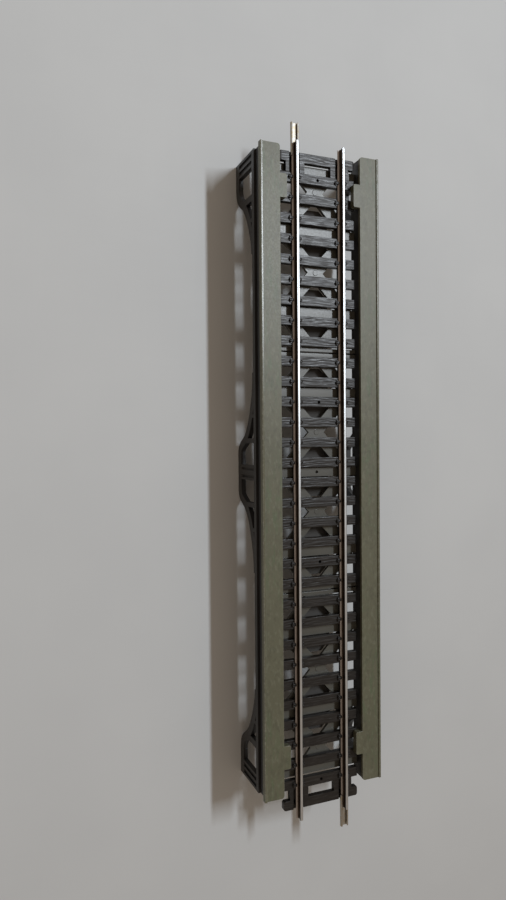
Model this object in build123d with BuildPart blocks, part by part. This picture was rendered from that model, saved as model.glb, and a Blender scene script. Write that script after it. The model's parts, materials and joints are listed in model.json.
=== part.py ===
from build123d import *
import os

# Straight two-rail track section, 16.5 mm gauge, lying in the trough of an arched deck bridge.
# Frame: +Y along the rails, +X across, +Z up, origin under the middle of the track at foot level.

os.makedirs("parts", exist_ok=True)

# ---- Driving dimensions, millimetres ----
GAUGE = 16.5
RAIL_LENGTH = 228.6
RAIL_HEIGHT = 2.54
RAIL_TOP = 22.6

BRIDGE_LENGTH = 217.6
BRIDGE_WIDTH = 44.6
DECK_TOP = 22.5
TROUGH_WIDTH = 30.2

SLEEPER_COUNT = 33
SLEEPER_PITCH = 6.86
SLEEPER_LENGTH = 28.4
SLEEPER_WIDTH = 3.3
SLEEPER_DEPTH = 1.9

# The track rests half a sleeper pitch off the middle of the bridge, so that the cross beams,
# which stand in line with gaps between sleepers, show through from above.
BRIDGE_Y = SLEEPER_PITCH / 2

# ---- Rail section ----
HEAD_WIDTH = 0.95
HEAD_DEPTH = 0.8
WEB_WIDTH = 0.5
FOOT_WIDTH = 2.3
FOOT_DEPTH = 0.45
RAIL_X = (GAUGE + HEAD_WIDTH) / 2
FOOT_Z = RAIL_TOP - RAIL_HEIGHT

# ---- Rail joiner: a sheet channel wrapped round the rail foot ----
JOINER_LENGTH = 11.0
JOINER_GRIP = 4.4
JOINER_SHEET = 0.3
JOINER_PLAY = 0.03
JOINER_SLOT = 1.6

# ---- Sleeper moulding ----
SLEEPER_TOP = FOOT_Z
SLEEPER_BASE = SLEEPER_TOP - SLEEPER_DEPTH
LAST_SLEEPER_Y = SLEEPER_PITCH * (SLEEPER_COUNT - 1) / 2
STRINGER_WIDTH = 1.3
STRINGER_DROP = 0.75
CHAIR_REACH = 1.0
CHAIR_LENGTH = 1.9
CHAIR_HEIGHT = 0.75
TIE_PLATE_INNER = 4.95
TIE_PLATE_OUTER = 11.9
POCKET_WIDTH = 3.8
POCKET_DEPTH = 0.6
NAIL_RADIUS = 0.45
NAILED_SLEEPERS = (1, 12, 20, 31)

# ---- Deck ----
PLATE_DEPTH = 1.2
LIP_DEPTH = 1.4
LIP_WIDTH = 0.9
KERB_HEIGHT = 0.5
KERB_WIDTH = 0.8
KERB_SLOPE = 0.05
TAB_LENGTH = 7.9
TAB_REACH = 2.5
TAB_DEPTH = 2.3
TAB_Y = 95.3
PLATE_CORNER = 1.0

# ---- Girders under the walkways ----
END_INSET = 0.4
GIRDER_INSET = 0.3
INNER_WEB = 0.8
OUTER_WEB = 0.8
GIRDER_TOP_FLANGE = 0.7
INNER_WEB_BASE = 15.7
OUTER_WEB_BASE = 16.8

# ---- Floor frame ----
BEAM_TOP = SLEEPER_BASE - 0.06
BEAM_WIDTH = 3.1
BEAM_DEPTH = 3.2
BEAM_BASE = BEAM_TOP - BEAM_DEPTH
BEAM_BAY = 4 * SLEEPER_PITCH
BEAM_COUNT = 7
END_BEAM_Y = 15 * SLEEPER_PITCH
MIDDLE_HOLE_RADIUS = 0.5
MIDDLE_HOLE_DEPTH = 1.2
TWIN_FLANGE = 1.3
TWIN_WEB_DEPTH = 1.2
BRACE_TOP = BEAM_TOP - 0.3
BRACE_DEPTH = 1.2
BRACE_WIDTH = 4.3
BRACE_ANGLE = 47
BOSS_RADIUS = 0.9
BOSS_HEIGHT = 0.2
GUSSET_DEPTH = 0.9
GUSSET_WIDTH = 12.4
GUSSET_LENGTH = 17.2
GUSSET_CHAMFER = 3.3

# ---- Side trusses; stations are distances from the middle of the bridge ----
TRUSS_DEPTH = 1.6
TRUSS_TOP = OUTER_WEB_BASE
TOP_CHORD = 2.0
FOOT_CHORD = 3.0
ARCH_WIDTH = 2.8
PANEL_DEPTH = 1.0
END_POST_INNER = 103.0
MIDDLE_POST_HALF = 2.6
RIB_WIDTH = 0.9
END_FOOT_END = 99.5
MIDDLE_FOOT_END = 7.0
POSTS = ((11.0, 1.6), (19.4, 1.2), (27.6, 1.2), (77.2, 1.2), (85.3, 1.2), (92.8, 2.2))

HALF_WIDTH = BRIDGE_WIDTH / 2
HALF_TROUGH = TROUGH_WIDTH / 2
HALF_BRIDGE = BRIDGE_LENGTH / 2
PLATE_BASE = DECK_TOP - PLATE_DEPTH
WEB_INNER_X = HALF_TROUGH + GIRDER_INSET
WEB_OUTER_X = HALF_WIDTH - LIP_WIDTH
TRUSS_INNER_X = WEB_OUTER_X - OUTER_WEB
TRUSS_HALF = HALF_BRIDGE - END_INSET
RIB_STATIONS = (
    0,
    MIDDLE_POST_HALF - RIB_WIDTH,
    END_POST_INNER,
    (END_POST_INNER + TRUSS_HALF - RIB_WIDTH) / 2,
    TRUSS_HALF - RIB_WIDTH,
)
ARCH_CROWN = TRUSS_TOP - ARCH_WIDTH / 2
MIDDLE_ARCH = ((MIDDLE_FOOT_END - 1, ARCH_WIDTH / 2), (10.7, 5.7), (21.7, 13.2), (34.0, ARCH_CROWN))
END_ARCH = ((74.0, ARCH_CROWN), (81.7, 13.7), (92.5, 6.7), (END_FOOT_END + 1, ARCH_WIDTH / 2))
ARCHES = (MIDDLE_ARCH, END_ARCH)

ACROSS_TRACK = Plane.XZ
ACROSS_BRIDGE = Plane.XZ.offset(-BRIDGE_Y)


def save(part, name):
    part.label = name
    export_step(part, f"parts/{name}.step")


# ---- Rails ----
def rail(name, x):
    web_half, head_half, foot_half = WEB_WIDTH / 2, HEAD_WIDTH / 2, FOOT_WIDTH / 2
    with BuildPart() as bar:
        with BuildSketch(ACROSS_TRACK):
            with Locations((x, FOOT_Z + FOOT_DEPTH / 2)):
                Rectangle(FOOT_WIDTH, FOOT_DEPTH)
            with Locations((x, FOOT_Z + RAIL_HEIGHT / 2)):
                Rectangle(WEB_WIDTH, RAIL_HEIGHT)
            with BuildLine():
                Polyline(
                    (x - web_half, RAIL_TOP - HEAD_DEPTH - 0.2),
                    (x + web_half, RAIL_TOP - HEAD_DEPTH - 0.2),
                    (x + head_half, RAIL_TOP - HEAD_DEPTH),
                    (x + head_half, RAIL_TOP - 0.15),
                    (x + head_half - 0.15, RAIL_TOP),
                    (x - head_half + 0.15, RAIL_TOP),
                    (x - head_half, RAIL_TOP - 0.15),
                    (x - head_half, RAIL_TOP - HEAD_DEPTH),
                    close=True,
                )
            make_face()
        extrude(amount=RAIL_LENGTH / 2, both=True)
    save(bar.part, name)


rail("rail_left", -RAIL_X)
rail("rail_right", RAIL_X)


# ---- Rail joiners, one on each rail, at opposite ends ----
def rail_joiner(name, x, outward):
    inner_width = FOOT_WIDTH + 2 * JOINER_PLAY
    outer_width = inner_width + 2 * JOINER_SHEET
    inner_height = FOOT_DEPTH + 2 * JOINER_PLAY
    outer_height = inner_height + 2 * JOINER_SHEET
    middle_z = FOOT_Z + FOOT_DEPTH / 2
    middle_y = outward * (RAIL_LENGTH / 2 - JOINER_GRIP + JOINER_LENGTH / 2)
    with BuildPart() as joiner:
        with BuildSketch(Plane.XZ.offset(-middle_y)):
            with Locations((x, middle_z)):
                RectangleRounded(outer_width, outer_height, JOINER_SHEET)
                Rectangle(inner_width, inner_height, mode=Mode.SUBTRACT)
            with Locations((x, middle_z + outer_height / 2)):
                Rectangle(JOINER_SLOT, outer_height, mode=Mode.SUBTRACT)
        extrude(amount=JOINER_LENGTH / 2, both=True)
    save(joiner.part, name)


rail_joiner("rail_joiner_far", -RAIL_X, 1)
rail_joiner("rail_joiner_near", RAIL_X, -1)


# ---- Sleeper moulding: sleepers, stringers under the rails, chairs and the two end ties ----
inner_count = SLEEPER_COUNT - 2
end_gap_y = LAST_SLEEPER_Y - SLEEPER_PITCH / 2
chair_x = (FOOT_WIDTH + CHAIR_REACH) / 2
tie_plate_width = TIE_PLATE_OUTER - TIE_PLATE_INNER
tie_plate_x = (TIE_PLATE_OUTER + TIE_PLATE_INNER) / 2
pocket_end = LAST_SLEEPER_Y + SLEEPER_WIDTH
pocket_start = LAST_SLEEPER_Y - SLEEPER_PITCH + SLEEPER_WIDTH / 2 + 0.4

with BuildPart() as sleepers:
    with BuildSketch(Plane.XY.offset(SLEEPER_BASE)):
        with GridLocations(0, SLEEPER_PITCH, 1, inner_count):
            Rectangle(SLEEPER_LENGTH, SLEEPER_WIDTH)
        with GridLocations(0, 2 * LAST_SLEEPER_Y, 1, 2):
            RectangleRounded(SLEEPER_LENGTH, SLEEPER_WIDTH, 0.7)
        with GridLocations(2 * tie_plate_x, 2 * end_gap_y, 2, 2):
            Rectangle(tie_plate_width, SLEEPER_PITCH)
    extrude(amount=SLEEPER_DEPTH)
    with BuildSketch(Plane.XY.offset(SLEEPER_BASE)):
        with GridLocations(2 * RAIL_X, 0, 2, 1):
            Rectangle(STRINGER_WIDTH, 2 * LAST_SLEEPER_Y)
    extrude(amount=SLEEPER_DEPTH - STRINGER_DROP)
    with BuildSketch(Plane.XY.offset(SLEEPER_TOP)):
        for x in (-RAIL_X, RAIL_X):
            for offset_x in (-chair_x, chair_x):
                with Locations((x + offset_x, 0)):
                    with GridLocations(0, SLEEPER_PITCH, 1, inner_count):
                        Rectangle(CHAIR_REACH, CHAIR_LENGTH)
    extrude(amount=CHAIR_HEIGHT)
    with BuildSketch(Plane.XY.offset(SLEEPER_TOP - POCKET_DEPTH)):
        pocket_y = (pocket_start + pocket_end) / 2
        with GridLocations(2 * RAIL_X, 2 * pocket_y, 2, 2):
            Rectangle(POCKET_WIDTH, pocket_end - pocket_start)
    extrude(amount=POCKET_DEPTH + CHAIR_HEIGHT, mode=Mode.SUBTRACT)
    for index in NAILED_SLEEPERS:
        with Locations((0, LAST_SLEEPER_Y - index * SLEEPER_PITCH, SLEEPER_TOP)):
            Hole(NAIL_RADIUS)
save(sleepers.part, "sleeper_moulding")


# ---- Walkway plates, with a kerb, a fascia lip and two tabs over the sleeper ends ----
def walkway(name, side):
    kerb_x = HALF_WIDTH - KERB_WIDTH
    kerb_top = DECK_TOP + KERB_HEIGHT
    with BuildPart() as plate:
        with BuildSketch(ACROSS_BRIDGE):
            with BuildLine():
                Polyline(
                    (side * HALF_TROUGH, PLATE_BASE),
                    (side * HALF_TROUGH, DECK_TOP),
                    (side * (kerb_x - KERB_SLOPE), DECK_TOP),
                    (side * kerb_x, kerb_top),
                    (side * (HALF_WIDTH - 0.15), kerb_top),
                    (side * HALF_WIDTH, kerb_top - 0.15),
                    (side * HALF_WIDTH, DECK_TOP - LIP_DEPTH),
                    (side * WEB_OUTER_X, DECK_TOP - LIP_DEPTH),
                    (side * WEB_OUTER_X, PLATE_BASE),
                    close=True,
                )
            make_face()
        extrude(amount=HALF_BRIDGE, both=True)
        inner_corners = plate.edges().filter_by(Axis.Z).group_by(Axis.X)[0 if side > 0 else -1]
        fillet(inner_corners, PLATE_CORNER)
        with BuildSketch(Plane.XY.offset(DECK_TOP - TAB_DEPTH)):
            for along in (-TAB_Y, TAB_Y):
                with Locations((side * HALF_TROUGH, BRIDGE_Y + along)):
                    RectangleRounded(2 * TAB_REACH, TAB_LENGTH, 0.6)
            with Locations((side * (HALF_TROUGH + TAB_REACH / 2), BRIDGE_Y)):
                Rectangle(TAB_REACH, BRIDGE_LENGTH, mode=Mode.SUBTRACT)
        extrude(amount=TAB_DEPTH)
    save(plate.part, name)


walkway("walkway_left", -1)
walkway("walkway_right", 1)


# ---- Girders: an inverted channel under each walkway, in three plates that meet face to face ----
def girder_plate(name, side, inner_x, outer_x, base, top):
    with BuildPart() as plate:
        with Locations((side * (inner_x + outer_x) / 2, BRIDGE_Y, (base + top) / 2)):
            Box(outer_x - inner_x, 2 * TRUSS_HALF, top - base)
    save(plate.part, name)


def deck_girder(hand, side):
    flange_inner = WEB_INNER_X + INNER_WEB
    flange_base = PLATE_BASE - GIRDER_TOP_FLANGE
    girder_plate(f"girder_inner_web_{hand}", side, WEB_INNER_X, flange_inner, INNER_WEB_BASE, PLATE_BASE)
    girder_plate(f"girder_flange_{hand}", side, flange_inner, TRUSS_INNER_X, flange_base, PLATE_BASE)
    girder_plate(f"girder_outer_web_{hand}", side, TRUSS_INNER_X, WEB_OUTER_X, OUTER_WEB_BASE, PLATE_BASE)


deck_girder("left", -1)
deck_girder("right", 1)


# ---- Cross beams from girder to girder, numbered from the far end ----
def cross_beam(name, y, drilled=False):
    with BuildPart() as beam:
        with Locations((0, y, BEAM_BASE)):
            Box(2 * WEB_INNER_X, BEAM_WIDTH, BEAM_DEPTH, align=(Align.CENTER, Align.CENTER, Align.MIN))
        if drilled:
            # A blind pilot hole in line with the pin holes of the track.
            with Locations((0, y, BEAM_TOP)):
                Hole(MIDDLE_HOLE_RADIUS, depth=MIDDLE_HOLE_DEPTH)
    save(beam.part, name)


beam_stations = [BRIDGE_Y + BEAM_BAY * (3 - index) for index in range(BEAM_COUNT)]
cross_beam("end_beam_far", BRIDGE_Y + END_BEAM_Y)
for index, station in enumerate(beam_stations):
    cross_beam(f"cross_beam_{index + 1}", station, drilled=index == BEAM_COUNT // 2)
cross_beam("end_beam_near", BRIDGE_Y - END_BEAM_Y)


# ---- Twin beams: two slim flanges with a groove between them ----
def twin_beam(name, y):
    with BuildPart() as beam:
        with BuildSketch(Plane.XY.offset(BEAM_BASE)):
            with Locations((0, y)):
                Rectangle(2 * WEB_INNER_X, BEAM_WIDTH)
        extrude(amount=BEAM_DEPTH)
        with BuildSketch(Plane.XY.offset(BEAM_TOP)):
            with Locations((0, y)):
                Rectangle(2 * WEB_INNER_X, BEAM_WIDTH - 2 * TWIN_FLANGE)
        extrude(amount=-TWIN_WEB_DEPTH, mode=Mode.SUBTRACT)
    save(beam.part, name)


twin_beam("twin_beam_far", BRIDGE_Y + 1.5 * BEAM_BAY)
twin_beam("twin_beam_near", BRIDGE_Y - 1.5 * BEAM_BAY)


# ---- Lateral braces: flat diagonals that cross midway between two cross beams ----
# The ends low and high are the faces of the beams that the diagonals run between.
def lateral_brace(name, crossing, low, high, boss=True):
    length = 2 * BEAM_BAY
    with BuildPart() as brace:
        with BuildSketch(Plane.XY.offset(BRACE_TOP - BRACE_DEPTH)):
            with Locations((0, crossing)):
                Rectangle(length, BRACE_WIDTH, rotation=BRACE_ANGLE)
                Rectangle(length, BRACE_WIDTH, rotation=-BRACE_ANGLE)
            with Locations((0, (low + high) / 2)):
                Rectangle(2 * WEB_INNER_X, high - low, mode=Mode.INTERSECT)
        extrude(amount=BRACE_DEPTH)
        if boss:
            with BuildSketch(Plane.XY.offset(BRACE_TOP)):
                with Locations((0, crossing)):
                    Circle(BOSS_RADIUS)
            extrude(amount=BOSS_HEIGHT)
    save(brace.part, name)


half_beam = BEAM_WIDTH / 2
for end, toward in (("far", 1), ("near", -1)):
    # The end bay is cut short by the end beam.
    crossing = BRIDGE_Y + toward * 3.5 * BEAM_BAY
    faces = sorted((
        BRIDGE_Y + toward * (3 * BEAM_BAY + half_beam),
        BRIDGE_Y + toward * (END_BEAM_Y - half_beam),
    ))
    lateral_brace(f"end_brace_{end}", crossing, *faces)
    for bay in (0.5, 2.5):
        crossing = BRIDGE_Y + toward * bay * BEAM_BAY
        reach = BEAM_BAY / 2 - half_beam
        lateral_brace(f"lateral_brace_{end}_{round(bay + 0.5)}", crossing, crossing - reach, crossing + reach)
    # The twin beam covers the crossing in its bay and leaves a fork on either side.
    crossing = BRIDGE_Y + toward * 1.5 * BEAM_BAY
    for side, direction in (("outer", toward), ("inner", -toward)):
        faces = sorted((
            crossing + direction * half_beam,
            crossing + direction * (BEAM_BAY / 2 - half_beam),
        ))
        lateral_brace(f"brace_fork_{end}_{side}", crossing, *faces, boss=False)


# ---- Gusset plates: octagons under the seven cross beams ----
for index, station in enumerate(beam_stations):
    with BuildPart() as gusset:
        with BuildSketch(Plane.XY.offset(BEAM_BASE - GUSSET_DEPTH)):
            with Locations((0, station)):
                Rectangle(GUSSET_WIDTH, GUSSET_LENGTH)
            chamfer(vertices(), GUSSET_CHAMFER)
        extrude(amount=GUSSET_DEPTH)
    save(gusset.part, f"gusset_plate_{index + 1}")


# ---- Side trusses: two arches between an end pier, a middle pier and the other end pier ----
def side_truss(name, side):
    inner_x = TRUSS_INNER_X if side > 0 else -TRUSS_INNER_X - TRUSS_DEPTH
    panel_x = TRUSS_INNER_X if side > 0 else -TRUSS_INNER_X - PANEL_DEPTH
    face = Plane(origin=(inner_x, BRIDGE_Y, 0), x_dir=(0, 1, 0), z_dir=(1, 0, 0))
    panel_face = Plane(origin=(panel_x, BRIDGE_Y, 0), x_dir=(0, 1, 0), z_dir=(1, 0, 0))
    from_corner = (Align.MIN, Align.MIN)
    with BuildPart() as truss:
        with BuildSketch(face):
            for station, width in POSTS:
                with Locations((station, 0)):
                    Rectangle(width, TRUSS_TOP, align=(Align.CENTER, Align.MIN))
            for arch in ARCHES:
                with BuildLine():
                    curve = Spline(*arch, tangents=((1, 0), (1, 0)))
                    Polyline(curve @ 1, ((curve @ 1).X, 0), ((curve @ 0).X, 0), curve @ 0)
                make_face(mode=Mode.SUBTRACT)
            for arch in ARCHES:
                with BuildLine():
                    Spline(*arch, tangents=((1, 0), (1, 0)))
                trace(line_width=ARCH_WIDTH)
            for station in RIB_STATIONS:
                with Locations((station, 0)):
                    Rectangle(RIB_WIDTH, TRUSS_TOP, align=from_corner)
            with Locations((0, TRUSS_TOP - TOP_CHORD)):
                Rectangle(TRUSS_HALF, TOP_CHORD, align=from_corner)
            Rectangle(MIDDLE_FOOT_END, FOOT_CHORD, align=from_corner)
            with Locations((END_FOOT_END, 0)):
                Rectangle(TRUSS_HALF - END_FOOT_END, FOOT_CHORD, align=from_corner)
            mirror(about=Plane.YZ)
        extrude(amount=TRUSS_DEPTH)
        with BuildSketch(panel_face):
            Rectangle(MIDDLE_POST_HALF, TRUSS_TOP, align=from_corner)
            with Locations((END_POST_INNER, 0)):
                Rectangle(TRUSS_HALF - END_POST_INNER, TRUSS_TOP, align=from_corner)
            mirror(about=Plane.YZ)
        extrude(amount=PANEL_DEPTH)
    save(truss.part, name)


side_truss("side_truss_left", -1)
side_truss("side_truss_right", 1)
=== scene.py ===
import json
import math

import bmesh
import bpy
from mathutils import Euler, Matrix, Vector, noise


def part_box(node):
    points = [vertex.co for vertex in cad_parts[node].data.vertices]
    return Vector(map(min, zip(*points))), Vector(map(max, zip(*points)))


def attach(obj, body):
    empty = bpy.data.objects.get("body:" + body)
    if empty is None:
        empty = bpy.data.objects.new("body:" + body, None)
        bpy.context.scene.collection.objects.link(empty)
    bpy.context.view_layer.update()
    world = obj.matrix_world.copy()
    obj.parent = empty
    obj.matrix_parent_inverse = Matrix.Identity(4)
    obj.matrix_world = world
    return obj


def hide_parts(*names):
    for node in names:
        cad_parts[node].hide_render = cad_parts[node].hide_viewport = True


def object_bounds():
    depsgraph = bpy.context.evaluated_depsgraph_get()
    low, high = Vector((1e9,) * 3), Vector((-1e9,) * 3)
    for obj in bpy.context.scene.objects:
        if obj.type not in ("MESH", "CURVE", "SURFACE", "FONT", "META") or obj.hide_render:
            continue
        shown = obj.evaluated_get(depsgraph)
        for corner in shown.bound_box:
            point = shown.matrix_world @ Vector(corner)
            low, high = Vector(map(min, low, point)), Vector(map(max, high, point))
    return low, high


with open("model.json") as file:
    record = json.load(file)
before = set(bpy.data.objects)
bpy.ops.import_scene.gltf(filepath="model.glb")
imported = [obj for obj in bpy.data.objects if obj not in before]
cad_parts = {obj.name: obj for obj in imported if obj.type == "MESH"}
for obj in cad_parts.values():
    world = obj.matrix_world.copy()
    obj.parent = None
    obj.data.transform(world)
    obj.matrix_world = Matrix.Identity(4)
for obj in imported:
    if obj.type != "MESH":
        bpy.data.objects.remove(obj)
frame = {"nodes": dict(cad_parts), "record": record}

cad_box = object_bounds()
MM = 0.001

# ---------------------------------------------------------------- frame facts, millimetres


def box_mm(node):
    """Lowest and highest corner of a CAD node, in millimetres."""
    low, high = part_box(node)
    return low / MM, high / MM


BODY_OF = {
    node: body for body, nodes in frame["record"]["behaviour"]["bodies"].items() for node in nodes
}
SLOT_OF = {part["node"]: part["material_slot"] for part in frame["record"]["subparts"]}

rail_low, rail_high = box_mm("rail_left")
moulding_low, moulding_high = box_mm("sleeper_moulding")
KERB_TOP = box_mm("walkway_left")[1].z

RAIL_X = -(rail_low.x + rail_high.x) / 2
FOOT_Z = rail_low.z
RAIL_TOP = rail_high.z
FOOT_HALF = (rail_high.x - rail_low.x) / 2

SLEEPER_COUNT = 33
SLEEPER_WIDTH = 3.3
SLEEPER_TOP = FOOT_Z
SLEEPER_BASE = moulding_low.z
SLEEPER_HALF = moulding_high.x
SLEEPER_PITCH = (moulding_high.y - moulding_low.y - SLEEPER_WIDTH) / (SLEEPER_COUNT - 1)
LAST_SLEEPER = moulding_high.y - SLEEPER_WIDTH / 2
CHAIR_TOP = moulding_high.z
NAILED_SLEEPERS = (1, 12, 20, 31)
NAIL_RADIUS = 0.45
POCKET_HALF = 1.9
POCKET_DEPTH = 0.6
STRINGER_HALF = 0.65
STRINGER_DROP = 0.75
TIE_PLATE = (4.95, 11.9)

# Rounding and relief of the sleepers.
SLEEPER_CORNER = 0.18
END_TIE_CORNER = 0.7
SLEEPER_EDGE = 0.16
BASE_CHAMFER = 0.1
SAW_WOBBLE = 0.03
GRAIN_STEP_ALONG = 0.28
GRAIN_STEP_ACROSS = 0.15
POCKET_WALL = 0.03
COUNTERSINK = 0.14

# Chairs beside the rails, the clips over the rail feet, and the round bosses.
CHAIR_GAP = 0.02
CHAIR_REACH = 1.0
CHAIR_HALF_LENGTH = 0.95
CHAIR_SUNK = 0.12
CHAIR_HEIGHT = 0.34
CHAIR_ROUND = 0.07
CLIP_HALF_LENGTH = 0.5
CLIP_OVERLAP = 0.35
CLIP_SETBACK = 0.45
CLIP_BASE = 0.46
CLIP_ROUND = 0.06
BOSS_SETBACK = 0.38
BOSS_BASE = 0.12
BOSS_PROFILE = ((0.55, 0.0), (0.55, 0.46), (0.50, 0.56), (0.39, 0.60), (0.29, 0.55), (0.25, 0.42))


# ---------------------------------------------------------------- materials


class Look:
    """A procedural material around one Principled shader, in object coordinates of millimetres."""

    def __init__(self, name, **sockets):
        self.material = bpy.data.materials.new(name)
        self.material.use_nodes = True
        self.tree = self.material.node_tree
        self.tree.nodes.clear()
        self.shader = self.add("ShaderNodeBsdfPrincipled")
        output = self.add("ShaderNodeOutputMaterial")
        self.tree.links.new(self.shader.outputs["BSDF"], output.inputs["Surface"])
        self.place = self.stretched(self.add("ShaderNodeTexCoord").outputs["Object"], (1 / MM,) * 3)
        for socket, value in sockets.items():
            self.shader.inputs[socket.replace("_", " ")].default_value = value

    def add(self, kind, **settings):
        node = self.tree.nodes.new(kind)
        for key, value in settings.items():
            setattr(node, key, value)
        return node

    def feed(self, socket, value):
        if isinstance(value, bpy.types.NodeSocket):
            self.tree.links.new(value, socket)
        else:
            socket.default_value = value

    def stretched(self, vector, scale):
        node = self.add("ShaderNodeMapping")
        self.feed(node.inputs["Vector"], vector)
        node.inputs["Scale"].default_value = scale
        return node.outputs["Vector"]

    def noise(self, scale, detail=3.0, stretch=(1, 1, 1), roughness=0.5, distortion=0.0):
        node = self.add("ShaderNodeTexNoise")
        self.feed(node.inputs["Vector"], self.stretched(self.place, stretch))
        node.inputs["Scale"].default_value = scale
        node.inputs["Detail"].default_value = detail
        node.inputs["Roughness"].default_value = roughness
        node.inputs["Distortion"].default_value = distortion
        return node.outputs["Fac"]

    def span(self, value, low, high, to_low=0.0, to_high=1.0):
        """Value from low..high mapped smoothly onto to_low..to_high."""
        node = self.add("ShaderNodeMapRange", interpolation_type="SMOOTHSTEP")
        for socket, item in zip(node.inputs, (value, low, high, to_low, to_high)):
            self.feed(socket, item)
        return node.outputs["Result"]

    def math(self, operation, a, b):
        node = self.add("ShaderNodeMath", operation=operation)
        self.feed(node.inputs[0], a)
        self.feed(node.inputs[1], b)
        return node.outputs["Value"]

    def mix(self, factor, a, b):
        node = self.add("ShaderNodeMix", data_type="RGBA")
        for key, value in (("Factor_Float", factor), ("A_Color", a), ("B_Color", b)):
            socket = next(item for item in node.inputs if item.identifier == key)
            self.feed(socket, (*value, 1.0) if isinstance(value, tuple) else value)
        return next(item for item in node.outputs if item.identifier == "Result_Color")

    def axis(self, name):
        node = self.add("ShaderNodeSeparateXYZ")
        self.feed(node.inputs["Vector"], self.place)
        return node.outputs[name]

    def edge(self):
        return self.add("ShaderNodeAttribute", attribute_name="edge").outputs["Fac"]

    def bump(self, height, strength, distance):
        node = self.add("ShaderNodeBump")
        self.feed(node.inputs["Height"], height)
        node.inputs["Strength"].default_value = strength
        node.inputs["Distance"].default_value = distance * MM
        previous = self.shader.inputs["Normal"].links
        if previous:
            self.feed(node.inputs["Normal"], previous[0].from_socket)
        self.feed(self.shader.inputs["Normal"], node.outputs["Normal"])

    def colour(self, value):
        self.feed(self.shader.inputs["Base Color"], value)

    def roughness(self, value):
        self.feed(self.shader.inputs["Roughness"], value)


def weathered(look, body):
    """Green and pale streaks along the deck and small flecks, laid over the body colour."""
    streaks = look.noise(0.45, 4.0, stretch=(1.6, 0.3, 1.0), roughness=0.6, distortion=0.8)
    patches = look.noise(0.11, 2.0, stretch=(1.0, 0.35, 1.0))
    green = look.math("MULTIPLY", look.span(streaks, 0.46, 0.66), look.span(patches, 0.42, 0.62))
    body = look.mix(look.math("MULTIPLY", green, 0.6), body, (0.100, 0.142, 0.074))
    pale = look.noise(0.75, 4.0, stretch=(1.2, 0.5, 1.0), roughness=0.65)
    body = look.mix(look.span(pale, 0.50, 0.66, 0.0, 0.45), body, (0.205, 0.210, 0.148))
    dull = look.noise(0.65, 4.0, stretch=(0.9, 0.5, 1.0), roughness=0.65, distortion=0.4)
    body = look.mix(look.span(dull, 0.50, 0.66, 0.0, 0.42), body, (0.082, 0.081, 0.054))
    look.bump(look.noise(0.8, 4.0, stretch=(1.0, 0.6, 1.0), roughness=0.6), 0.35, 0.09)
    return body


def moulded_plastic(name, dark, light, stain, shine, worn, specular=0.5, painted=False):
    """Injection-moulded plastic: cloudy colour, a few stains, fine pitting and rubbed edges.

    shine is the middle of the roughness; painted adds the deck's weathering and its polished kerb.
    """
    look = Look(name, Specular_IOR_Level=specular)
    clouds = look.span(look.noise(0.05, 4.0), 0.3, 0.7)
    speckle = look.noise(2.6, 3.0, roughness=0.7)
    body = look.mix(clouds, dark, light)
    body = look.mix(look.span(speckle, 0.3, 0.75, 0.0, 0.35), body, stain)
    blotches = look.span(look.noise(0.09, 3.0, distortion=0.6), 0.6, 0.74, 0.0, 0.3)
    body = look.mix(blotches, body, stain)
    if painted:
        body = weathered(look, body)
    rubbed = look.math("MULTIPLY", look.edge(), look.span(look.noise(1.1, 4.0), 0.4, 0.7, 0.25, 0.95))
    look.colour(look.mix(rubbed, body, worn))
    gloss = look.span(look.noise(1.6, 4.0), 0.3, 0.7, shine - 0.02, shine + 0.03)
    gloss = look.math("SUBTRACT", gloss, look.math("MULTIPLY", look.edge(), 0.14))
    if painted:
        # The top of the kerb is polished by handling.
        kerb = look.span(look.axis("Z"), KERB_TOP - 0.25, KERB_TOP - 0.05, 0.0, 0.20)
        gloss = look.math("MAXIMUM", look.math("SUBTRACT", gloss, kerb), 0.24)
    look.roughness(gloss)
    look.bump(look.noise(3.6, 4.0, roughness=0.65), 0.30, 0.03)
    look.bump(look.noise(0.25, 2.0), 0.05, 0.05)
    return look.material


deck_plastic = moulded_plastic(
    "deck_plastic",
    dark=(0.133, 0.126, 0.083),
    light=(0.151, 0.143, 0.095),
    stain=(0.104, 0.132, 0.074),
    shine=0.43,
    worn=(0.30, 0.30, 0.25),
    painted=True,
)
frame_plastic = moulded_plastic(
    "frame_plastic",
    dark=(0.080, 0.079, 0.070),
    light=(0.104, 0.102, 0.090),
    stain=(0.105, 0.098, 0.060),
    shine=0.35,
    worn=(0.18, 0.18, 0.17),
    specular=0.6,
)
truss_plastic = moulded_plastic(
    "truss_plastic",
    dark=(0.024, 0.024, 0.025),
    light=(0.036, 0.036, 0.037),
    stain=(0.034, 0.031, 0.027),
    shine=0.45,
    worn=(0.07, 0.07, 0.072),
)
gusset_plastic = moulded_plastic(
    "gusset_plastic",
    dark=(0.085, 0.082, 0.078),
    light=(0.105, 0.101, 0.096),
    stain=(0.09, 0.08, 0.07),
    shine=0.75,
    worn=(0.15, 0.15, 0.14),
    specular=0.2,
)


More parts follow.
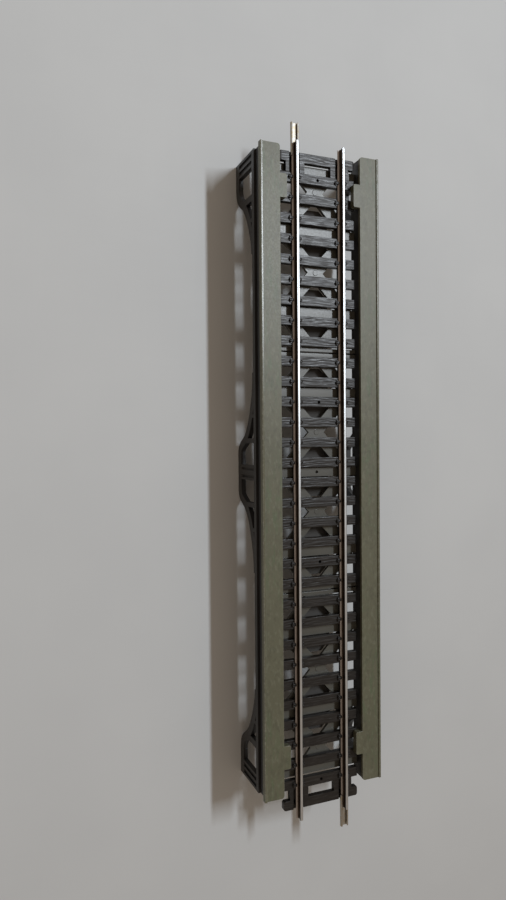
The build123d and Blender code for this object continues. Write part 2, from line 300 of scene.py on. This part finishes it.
def sleeper_material():
    """Charcoal plastic moulded as sawn timber: long grain in the colour, the gloss and the relief."""
    look = Look("sleeper_plastic", Specular_IOR_Level=0.5)
    along = (0.22, 2.3, 1.5)
    grain = look.noise(1.0, 5.0, stretch=along, roughness=0.6, distortion=0.5)
    clouds = look.span(look.noise(0.2, 3.0), 0.35, 0.7)
    body = look.mix(clouds, (0.0105, 0.0088, 0.0078), (0.0165, 0.0138, 0.0120))
    body = look.mix(look.span(grain, 0.48, 0.74, 0.0, 0.7), body, (0.046, 0.040, 0.034))
    body = look.mix(look.span(look.noise(0.35, 2.0), 0.62, 0.8, 0.0, 0.5), body, (0.028, 0.022, 0.017))
    look.colour(body)
    look.roughness(look.span(grain, 0.3, 0.70, 0.31, 0.53))
    look.bump(grain, 0.38, 0.09)
    look.bump(look.noise(5.0, 3.0), 0.2, 0.02)
    return look.material


def rail_material():
    """Drawn nickel silver, rubbed bright on the running surface and dull on web and foot; the web is
    coloured dark brown as painted shade and the top of the foot pale grey as a painted reflection.
    """
    look = Look("rail_metal", Metallic=1.0)
    height = look.axis("Z")
    draw_marks = look.noise(1.0, 4.0, stretch=(14.0, 0.06, 14.0), roughness=0.6)
    tarnish = look.noise(0.6, 5.0, stretch=(1.0, 0.35, 1.0), roughness=0.6)
    running = look.span(height, RAIL_TOP - 0.24, RAIL_TOP - 0.07)
    # Painted light: the web below the head is coloured dark as painted shade, and the top of the foot pale
    # as a painted reflection of the bright surroundings; the tarnish noise varies both.
    foot_reflection_mask = look.span(height, FOOT_Z + 0.33, FOOT_Z + 0.41, 1.0, 0.0)
    web = look.mix(look.span(tarnish, 0.3, 0.7), (0.055, 0.038, 0.028), (0.105, 0.080, 0.060))
    foot_painted_reflection = look.mix(look.span(tarnish, 0.3, 0.7), (0.46, 0.42, 0.40), (0.66, 0.62, 0.60))
    bright = look.mix(look.span(tarnish, 0.3, 0.75), (0.74, 0.78, 0.82), (0.64, 0.66, 0.67))
    look.colour(look.mix(running, look.mix(foot_reflection_mask, web, foot_painted_reflection), bright))
    polished = look.span(draw_marks, 0.3, 0.7, 0.30, 0.40)
    rough = look.span(tarnish, 0.3, 0.7, 0.42, 0.58)
    blend = look.add("ShaderNodeMix", data_type="FLOAT")
    for socket, value in zip(blend.inputs[:1] + blend.inputs[2:4], (running, rough, polished)):
        look.feed(socket, value)
    look.roughness(blend.outputs[0])
    look.bump(draw_marks, 0.12, 0.01)
    look.bump(tarnish, 0.10, 0.02)
    return look.material


def joiner_material():
    """Folded sheet, nickel-plated over brass, with the brass showing through where it is worn."""
    look = Look("joiner_metal", Metallic=1.0)
    wear = look.noise(0.8, 5.0, roughness=0.6)
    rolled = look.noise(1.0, 3.0, stretch=(9.0, 0.15, 9.0))
    look.colour(look.mix(look.span(wear, 0.38, 0.68), (0.50, 0.49, 0.46), (0.48, 0.41, 0.29)))
    look.roughness(look.span(rolled, 0.3, 0.7, 0.42, 0.56))
    look.bump(rolled, 0.25, 0.02)
    look.bump(wear, 0.2, 0.03)
    return look.material


sleeper_plastic = sleeper_material()
rail_metal = rail_material()
joiner_metal = joiner_material()


# ---------------------------------------------------------------- mesh helpers


def show(name, shape, material, body, replaced=(), smooth_angle=40.0):
    """Turns a bmesh, in millimetres, into a piece that rides on a body and takes a slot's finish."""
    bmesh.ops.scale(shape, vec=(MM, MM, MM), verts=shape.verts)
    mesh = bpy.data.meshes.new(name)
    shape.to_mesh(mesh)
    shape.free()
    mesh.materials.append(material)
    piece = bpy.data.objects.new(name, mesh)
    bpy.context.scene.collection.objects.link(piece)
    mesh.shade_smooth()
    mesh.set_sharp_from_angle(angle=math.radians(smooth_angle))
    keep = piece.modifiers.new("flat_faces", "WEIGHTED_NORMAL")
    keep.keep_sharp = True
    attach(piece, body)
    if replaced:
        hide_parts(*replaced)
    return piece


def cad_copy(name, node, material, bevel, segments=2):
    """A piece in the shape of a CAD node with its sharp edges rounded and marked for wear."""
    shape = bmesh.new()
    shape.from_mesh(frame["nodes"][node].data)
    bmesh.ops.scale(shape, vec=(1 / MM,) * 3, verts=shape.verts)
    bmesh.ops.remove_doubles(shape, verts=shape.verts, dist=0.004)
    bmesh.ops.dissolve_limit(
        shape, angle_limit=math.radians(0.6), verts=shape.verts, edges=shape.edges
    )
    for layer in list(shape.loops.layers.uv):
        shape.loops.layers.uv.remove(layer)
    worn = shape.faces.layers.float.new("edge")
    sharp = [
        edge
        for edge in shape.edges
        if len(edge.link_faces) == 2 and edge.calc_face_angle() > math.radians(35)
    ]
    made = bmesh.ops.bevel(
        shape,
        geom=sharp,
        offset=bevel,
        offset_type="OFFSET",
        segments=segments,
        profile=0.5,
        affect="EDGES",
        clamp_overlap=True,
    )
    for face in made["faces"]:
        face[worn] = 1.0
    return show(name, shape, material, BODY_OF[node], (node,))


def loft(shape, rings):
    """Joins closed rings of points into a tube of quads with a face at each end."""
    loops = [[shape.verts.new(point) for point in ring] for ring in rings]
    count = len(loops[0])
    for one, two in zip(loops, loops[1:]):
        for i in range(count):
            j = (i + 1) % count
            shape.faces.new((one[i], one[j], two[j], two[i]))
    shape.faces.new(loops[0][::-1])
    shape.faces.new(loops[-1])


def turned(shape, centre, profile, sides=16):
    """A turned form: profile is (radius, height) pairs from the outer rim in to the axis."""
    rings = [
        [
            shape.verts.new(
                centre
                + Vector(
                    (
                        radius * math.cos(math.tau * step / sides),
                        radius * math.sin(math.tau * step / sides),
                        height,
                    )
                )
            )
            for step in range(sides)
        ]
        for radius, height in profile
    ]
    for outer, inner in zip(rings, rings[1:]):
        for i in range(sides):
            j = (i + 1) % sides
            shape.faces.new((outer[i], outer[j], inner[j], inner[i]))
    shape.faces.new(rings[0][::-1])
    shape.faces.new(rings[-1])


def soft_block(shape, low, high, taper=0.0, round_by=0.1):
    """A block with rounded edges whose top is smaller than its base by taper on each side."""
    made = bmesh.ops.create_cube(shape, size=1.0)["verts"]
    size = high - low
    middle = (high + low) / 2
    for vert in made:
        top = vert.co.z > 0
        vert.co = Vector((vert.co.x * size.x, vert.co.y * size.y, vert.co.z * size.z))
        if top:
            vert.co.x -= math.copysign(taper, vert.co.x)
            vert.co.y -= math.copysign(taper, vert.co.y)
        vert.co += middle
    edges = list(dict.fromkeys(edge for vert in made for edge in vert.link_edges))
    bmesh.ops.bevel(
        shape, geom=edges, offset=round_by, segments=2, profile=0.5, affect="EDGES", clamp_overlap=True
    )


def steps(low, high, gap):
    count = max(1, round((high - low) / gap))
    return [low + (high - low) * i / count for i in range(count + 1)]


# ---------------------------------------------------------------- sleepers


def grain_depth(x, y, index):
    """How far the timber grain is sunk below the sleeper's top at a point, in millimetres."""
    heart = 7.0 * noise.noise(Vector((index * 3.71, 0.37, 0.0)))
    warp = noise.noise(Vector((x * 0.11, y * 0.4, index * 5.13)))
    rings = math.sin(y * 6.0 + (x - heart) ** 2 * 0.035 + warp * 6.0)
    fine = noise.noise(Vector((x * 0.30, y * 3.2, index * 2.31)))
    return 0.015 * (1 + rings) + 0.06 * max(0.0, fine)


def sleeper(shape, index):
    """One sleeper, lofted along X; the first and last are end ties with pockets under the joiners."""
    middle_y = LAST_SLEEPER - index * SLEEPER_PITCH
    at_end = index in (0, SLEEPER_COUNT - 1)
    half = SLEEPER_WIDTH / 2
    corner = END_TIE_CORNER if at_end else SLEEPER_CORNER
    edge = SLEEPER_EDGE
    depth = SLEEPER_TOP - SLEEPER_BASE
    ends = [SLEEPER_HALF - corner * (1 - math.cos(math.radians(a))) for a in (0, 20, 45, 70, 90)]
    straight = steps(-SLEEPER_HALF + corner, SLEEPER_HALF - corner, GRAIN_STEP_ALONG)
    stations = sorted({-x for x in ends} | set(ends) | set(straight))
    if at_end:
        cuts = [side * RAIL_X + reach for side in (-1, 1) for reach in (-POCKET_HALF, POCKET_HALF)]
        stations = sorted(set(stations) | {cut + gap for cut in cuts for gap in (-POCKET_WALL, POCKET_WALL)})
    rings = []
    for x in stations:
        past = max(0.0, abs(x) - (SLEEPER_HALF - corner))
        narrow = corner - math.sqrt(max(0.0, corner**2 - past**2))
        wide = half - narrow
        in_pocket = at_end and abs(abs(x) - RAIL_X) < POCKET_HALF
        top = depth - (POCKET_DEPTH if in_pocket else 0.0) - min(narrow, 0.1)
        wobble = SAW_WOBBLE * noise.noise(Vector((x * 0.5, index * 1.7, 0.0)))
        ring = [(-wide + BASE_CHAMFER, 0.0), (-wide, BASE_CHAMFER), (-wide + wobble, top - edge)]
        ring += [(-wide + edge * 0.3 + wobble, top - edge * 0.3)]
        count = round((SLEEPER_WIDTH - 2 * edge) / GRAIN_STEP_ACROSS)
        across = [(-wide + edge) + (2 * (wide - edge)) * i / count for i in range(count + 1)]
        ring += [(y, top - (0.0 if in_pocket else grain_depth(x, y, index))) for y in across]
        ring += [(wide - edge * 0.3 - wobble, top - edge * 0.3), (wide - wobble, top - edge)]
        ring += [(wide, BASE_CHAMFER), (wide - BASE_CHAMFER, 0.0)]
        rings.append([Vector((x, middle_y + y, SLEEPER_BASE + z)) for y, z in ring])
    loft(shape, rings)


def drilled(shape, x, y):
    """Cuts a nail hole down through the sleeper at x, y."""
    source = bpy.data.meshes.new("plain_sleeper")
    shape.to_mesh(source)
    plain = bpy.data.objects.new("plain_sleeper", source)
    drill = bmesh.new()
    turned(
        drill,
        Vector((x, y, 0.0)),
        (
            (NAIL_RADIUS, SLEEPER_BASE - 1),
            (NAIL_RADIUS, SLEEPER_TOP - 0.2),
            (NAIL_RADIUS + COUNTERSINK, SLEEPER_TOP + 0.1),
        ),
        24,
    )
    bit_mesh = bpy.data.meshes.new("drill")
    drill.to_mesh(bit_mesh)
    drill.free()
    bit = bpy.data.objects.new("drill", bit_mesh)
    for thing in (plain, bit):
        bpy.context.scene.collection.objects.link(thing)
    cut = plain.modifiers.new("hole", "BOOLEAN")
    cut.operation = "DIFFERENCE"
    cut.solver = "EXACT"
    cut.object = bit
    graph = bpy.context.evaluated_depsgraph_get()
    result = bpy.data.meshes.new_from_object(plain.evaluated_get(graph))
    shape.clear()
    shape.from_mesh(result)
    for thing in (plain, bit):
        bpy.data.objects.remove(thing)
    for data in (source, bit_mesh, result):
        bpy.data.meshes.remove(data)


def merge(shape, other):
    """Adds the form in other to shape and frees other."""
    mesh = bpy.data.meshes.new("merge")
    other.to_mesh(mesh)
    other.free()
    shape.from_mesh(mesh)
    bpy.data.meshes.remove(mesh)


timber = bmesh.new()
for index in range(SLEEPER_COUNT):
    one = bmesh.new()
    sleeper(one, index)
    if index in NAILED_SLEEPERS:
        bmesh.ops.recalc_face_normals(one, faces=one.faces)
        drilled(one, 0.0, LAST_SLEEPER - index * SLEEPER_PITCH)
    merge(timber, one)
bmesh.ops.recalc_face_normals(timber, faces=timber.faces)
show("sleepers", timber, sleeper_plastic, "track", ("sleeper_moulding",))

# The web of the moulding: stringers under both rails, end ties and the chairs beside the rails.
web = bmesh.new()
stringer_top = SLEEPER_TOP - STRINGER_DROP
for side in (-1, 1):
    centre = side * RAIL_X
    soft_block(
        web,
        Vector((centre - STRINGER_HALF, -LAST_SLEEPER, SLEEPER_BASE + 0.01)),
        Vector((centre + STRINGER_HALF, LAST_SLEEPER, stringer_top)),
        0.05,
    )
    for end in (-1, 1):
        inner_y = LAST_SLEEPER - SLEEPER_PITCH
        for low_x, high_x, top in (
            (TIE_PLATE[0], RAIL_X - POCKET_HALF, SLEEPER_TOP - 0.05),
            (RAIL_X - POCKET_HALF - 0.2, TIE_PLATE[1], SLEEPER_TOP - POCKET_DEPTH),
            (RAIL_X + POCKET_HALF, TIE_PLATE[1], SLEEPER_TOP - 0.05),
        ):
            xs = sorted((side * low_x, side * high_x))
            ys = sorted((end * inner_y, end * LAST_SLEEPER))
            soft_block(
                web,
                Vector((xs[0], ys[0], SLEEPER_BASE + 0.01)),
                Vector((xs[1], ys[1], top)),
                0.0,
                0.08,
            )

for index in range(1, SLEEPER_COUNT - 1):
    y = LAST_SLEEPER - index * SLEEPER_PITCH
    for rail_x in (-RAIL_X, RAIL_X):
        for side in (-1, 1):
            inner = rail_x + side * (FOOT_HALF + CHAIR_GAP)
            outer = rail_x + side * (FOOT_HALF + CHAIR_REACH)
            xs = sorted((inner, outer))
            soft_block(
                web,
                Vector((xs[0], y - CHAIR_HALF_LENGTH, SLEEPER_TOP - CHAIR_SUNK)),
                Vector((xs[1], y + CHAIR_HALF_LENGTH, SLEEPER_TOP + CHAIR_HEIGHT)),
                CHAIR_ROUND,
                CHAIR_ROUND,
            )
            # The clip that reaches over the rail foot.
            over = sorted((rail_x + side * (FOOT_HALF - CLIP_OVERLAP), outer - side * CLIP_SETBACK))
            soft_block(
                web,
                Vector((over[0], y - CLIP_HALF_LENGTH, FOOT_Z + CLIP_BASE)),
                Vector((over[1], y + CLIP_HALF_LENGTH, CHAIR_TOP)),
                CLIP_ROUND,
                CLIP_ROUND,
            )
            turned(
                web,
                Vector((outer - side * BOSS_SETBACK, y, SLEEPER_TOP + BOSS_BASE)),
                BOSS_PROFILE,
            )
bmesh.ops.recalc_face_normals(web, faces=web.faces)
show("chairs_and_stringers", web, sleeper_plastic, "track")


# ---------------------------------------------------------------- rails and joiners

HALF_SECTION = (
    (FOOT_HALF - 0.05, 0.0),
    (FOOT_HALF, 0.05),
    (FOOT_HALF - 0.01, 0.22),
    (FOOT_HALF - 0.10, 0.29),
    (0.55, 0.37),
    (0.36, 0.44),
    (0.27, 0.58),
    (0.24, 0.80),
    (0.24, 1.40),
    (0.28, 1.58),
    (0.38, 1.68),
    (0.455, 1.78),
    (0.475, 1.88),
    (0.475, 2.34),
    (0.440, 2.45),
    (0.360, 2.51),
    (0.240, 2.535),
    (0.100, 2.54),
)
rail_section = list(HALF_SECTION) + [(-x, z) for x, z in reversed(HALF_SECTION)]
END_ROUND = 0.06
END_SHRINK = 0.95
RAIL_STEP = 6.0


def swept(section, x, z, stations):
    """Rings of a section at stations (y, scale about the section's middle)."""
    middle = max(point[1] for point in section) / 2
    return [
        [Vector((x + px * shrink, y, z + middle + (pz - middle) * shrink)) for px, pz in section]
        for y, shrink in stations
    ]


for name, node in (("rail_left_bar", "rail_left"), ("rail_right_bar", "rail_right")):
    low, high = box_mm(node)
    bar = bmesh.new()
    stations = [(low.y, END_SHRINK)]
    stations += [(y, 1.0) for y in steps(low.y + END_ROUND, high.y - END_ROUND, RAIL_STEP)]
    stations += [(high.y, END_SHRINK)]
    loft(bar, swept(rail_section, (low.x + high.x) / 2, low.z, stations))
    bmesh.ops.recalc_face_normals(bar, faces=bar.faces)
    show(name, bar, rail_metal, "track", (node,), 50.0)


def joiner_section(width, height, sheet, slot):
    """Closed outline of the folded sheet: out along the right side, back inside it, then the left."""
    bend = sheet * 1.2
    half = width / 2
    outer = [(0.0, 0.0), (half - bend, 0.0)]
    outer += [
        (half - bend + bend * math.sin(a), bend - bend * math.cos(a))
        for a in (math.radians(k) for k in (22, 45, 67, 90))
    ]
    outer += [
        (half - bend + bend * math.cos(a), height - bend + bend * math.sin(a))
        for a in (math.radians(k) for k in (0, 22, 45, 67, 90))
    ]
    lip = slot / 2
    outer += [(lip + 0.12, height), (lip + 0.03, height - 0.05), (lip, height - sheet / 2)]
    inner = [(lip + 0.03, height - sheet + 0.05), (lip + 0.12, height - sheet)]
    inner += [(half - sheet - 0.05, height - sheet), (half - sheet, height - sheet - 0.05)]
    inner += [(half - sheet, sheet + 0.05), (half - sheet - 0.05, sheet), (0.0, sheet)]
    right = outer + inner
    return right + [(-x, z) for x, z in reversed(right) if x > 0]


JOINER_SHEET = 0.3
JOINER_SLOT = 1.6
JOINER_STEP = 0.5
for name, node in (("joiner_far_sheet", "rail_joiner_far"), ("joiner_near_sheet", "rail_joiner_near")):
    low, high = box_mm(node)
    outline = joiner_section(high.x - low.x, high.z - low.z, JOINER_SHEET, JOINER_SLOT)
    sheet = bmesh.new()
    stations = [(y, 1.0) for y in steps(low.y, high.y, JOINER_STEP)]
    loft(sheet, swept(outline, (low.x + high.x) / 2, low.z, stations))
    bmesh.ops.recalc_face_normals(sheet, faces=sheet.faces)
    show(name, sheet, joiner_metal, BODY_OF[node], (node,), 50.0)


# ---------------------------------------------------------------- bridge

WALKWAY_ROUND = 0.13
TRUSS_ROUND = 0.11
BEAM_ROUND = 0.10
for node in frame["record"]["behaviour"]["bodies"]["bridge"]:
    if node.startswith("walkway"):
        cad_copy(node + "_plate", node, deck_plastic, WALKWAY_ROUND, 3)
    elif node.startswith("gusset"):
        cad_copy(node + "_form", node, gusset_plastic, TRUSS_ROUND)
    elif SLOT_OF[node] == "truss_plastic":
        cad_copy(node + "_form", node, truss_plastic, TRUSS_ROUND)
    else:
        cad_copy(node + "_form", node, frame_plastic, BEAM_ROUND)


# ---------------------------------------------------------------- floor, light and camera


def floor_material():
    """Pale matt table top with a faint weave."""
    look = Look("pale_floor", Specular_IOR_Level=0.12)
    cloud = look.noise(0.02, 3.0)
    threads = look.math(
        "MULTIPLY",
        look.noise(0.3, 2.0, stretch=(1.0, 0.08, 1.0)),
        look.noise(0.3, 2.0, stretch=(0.08, 1.0, 1.0)),
    )
    look.colour(look.mix(look.span(cloud, 0.3, 0.7), (0.678, 0.698, 0.706), (0.702, 0.722, 0.728)))
    look.roughness(look.span(threads, 0.1, 0.4, 0.55, 0.7))
    look.bump(threads, 0.08, 0.4)
    return look.material


FLOOR_HALF = 4.0
floor_shape = bmesh.new()
bmesh.ops.create_grid(floor_shape, x_segments=8, y_segments=8, size=FLOOR_HALF)
floor_mesh = bpy.data.meshes.new("floor")
floor_shape.to_mesh(floor_mesh)
floor_shape.free()
floor_mesh.materials.append(floor_material())
floor = bpy.data.objects.new("floor", floor_mesh)
floor.location.z = cad_box[0][2] - 0.02 * MM
bpy.context.scene.collection.objects.link(floor)

middle = Vector([(a + b) / 2 for a, b in zip(*cad_box)])
middle.z = cad_box[1][2]

# A strip light beyond the far right, long in the direction of the track, as a ceiling tube is.
key_data = bpy.data.lights.new("key_strip", "AREA")
key_data.shape = "RECTANGLE"
key_data.size = 0.046
key_data.size_y = 0.31
key_data.energy = 4.8
key_data.color = (0.865, 0.932, 1.0)
key = bpy.data.objects.new("key_strip", key_data)
key.location = middle + Vector((0.332, 0.318, 0.72))
key.rotation_euler = Euler((math.radians(-2.0), math.radians(62.0), 0.0))
bpy.context.scene.collection.objects.link(key)

# The fill comes mostly from overhead and fades towards the horizon.
world = bpy.data.worlds.new("studio")
world.use_nodes = True
sky = world.node_tree
background = sky.nodes["Background"]
background.inputs["Color"].default_value = (1.0, 0.82, 0.66, 1.0)
direction = sky.nodes.new("ShaderNodeTexCoord")
split = sky.nodes.new("ShaderNodeSeparateXYZ")
fade = sky.nodes.new("ShaderNodeMapRange")
for socket, value in zip(fade.inputs[1:5], (0.0, 1.0, 0.11, 0.36)):
    socket.default_value = value
sky.links.new(direction.outputs["Generated"], split.inputs["Vector"])
sky.links.new(split.outputs["Z"], fade.inputs["Value"])
sky.links.new(fade.outputs["Result"], background.inputs["Strength"])
bpy.context.scene.world = world

camera_data = bpy.data.cameras.new("camera")
camera_data.sensor_fit = "VERTICAL"
camera_data.sensor_height = 36.0
camera_data.lens = 26.57
camera_data.clip_start = 0.01
camera = bpy.data.objects.new("camera", camera_data)
camera.location = Vector((-105.58, 15.34, 223.47)) * MM
camera.rotation_euler = Euler((-0.01479, -0.37935, -0.00859), "XYZ")
bpy.context.scene.collection.objects.link(camera)
bpy.context.scene.camera = camera
bpy.context.scene.view_settings.view_transform = "Standard"
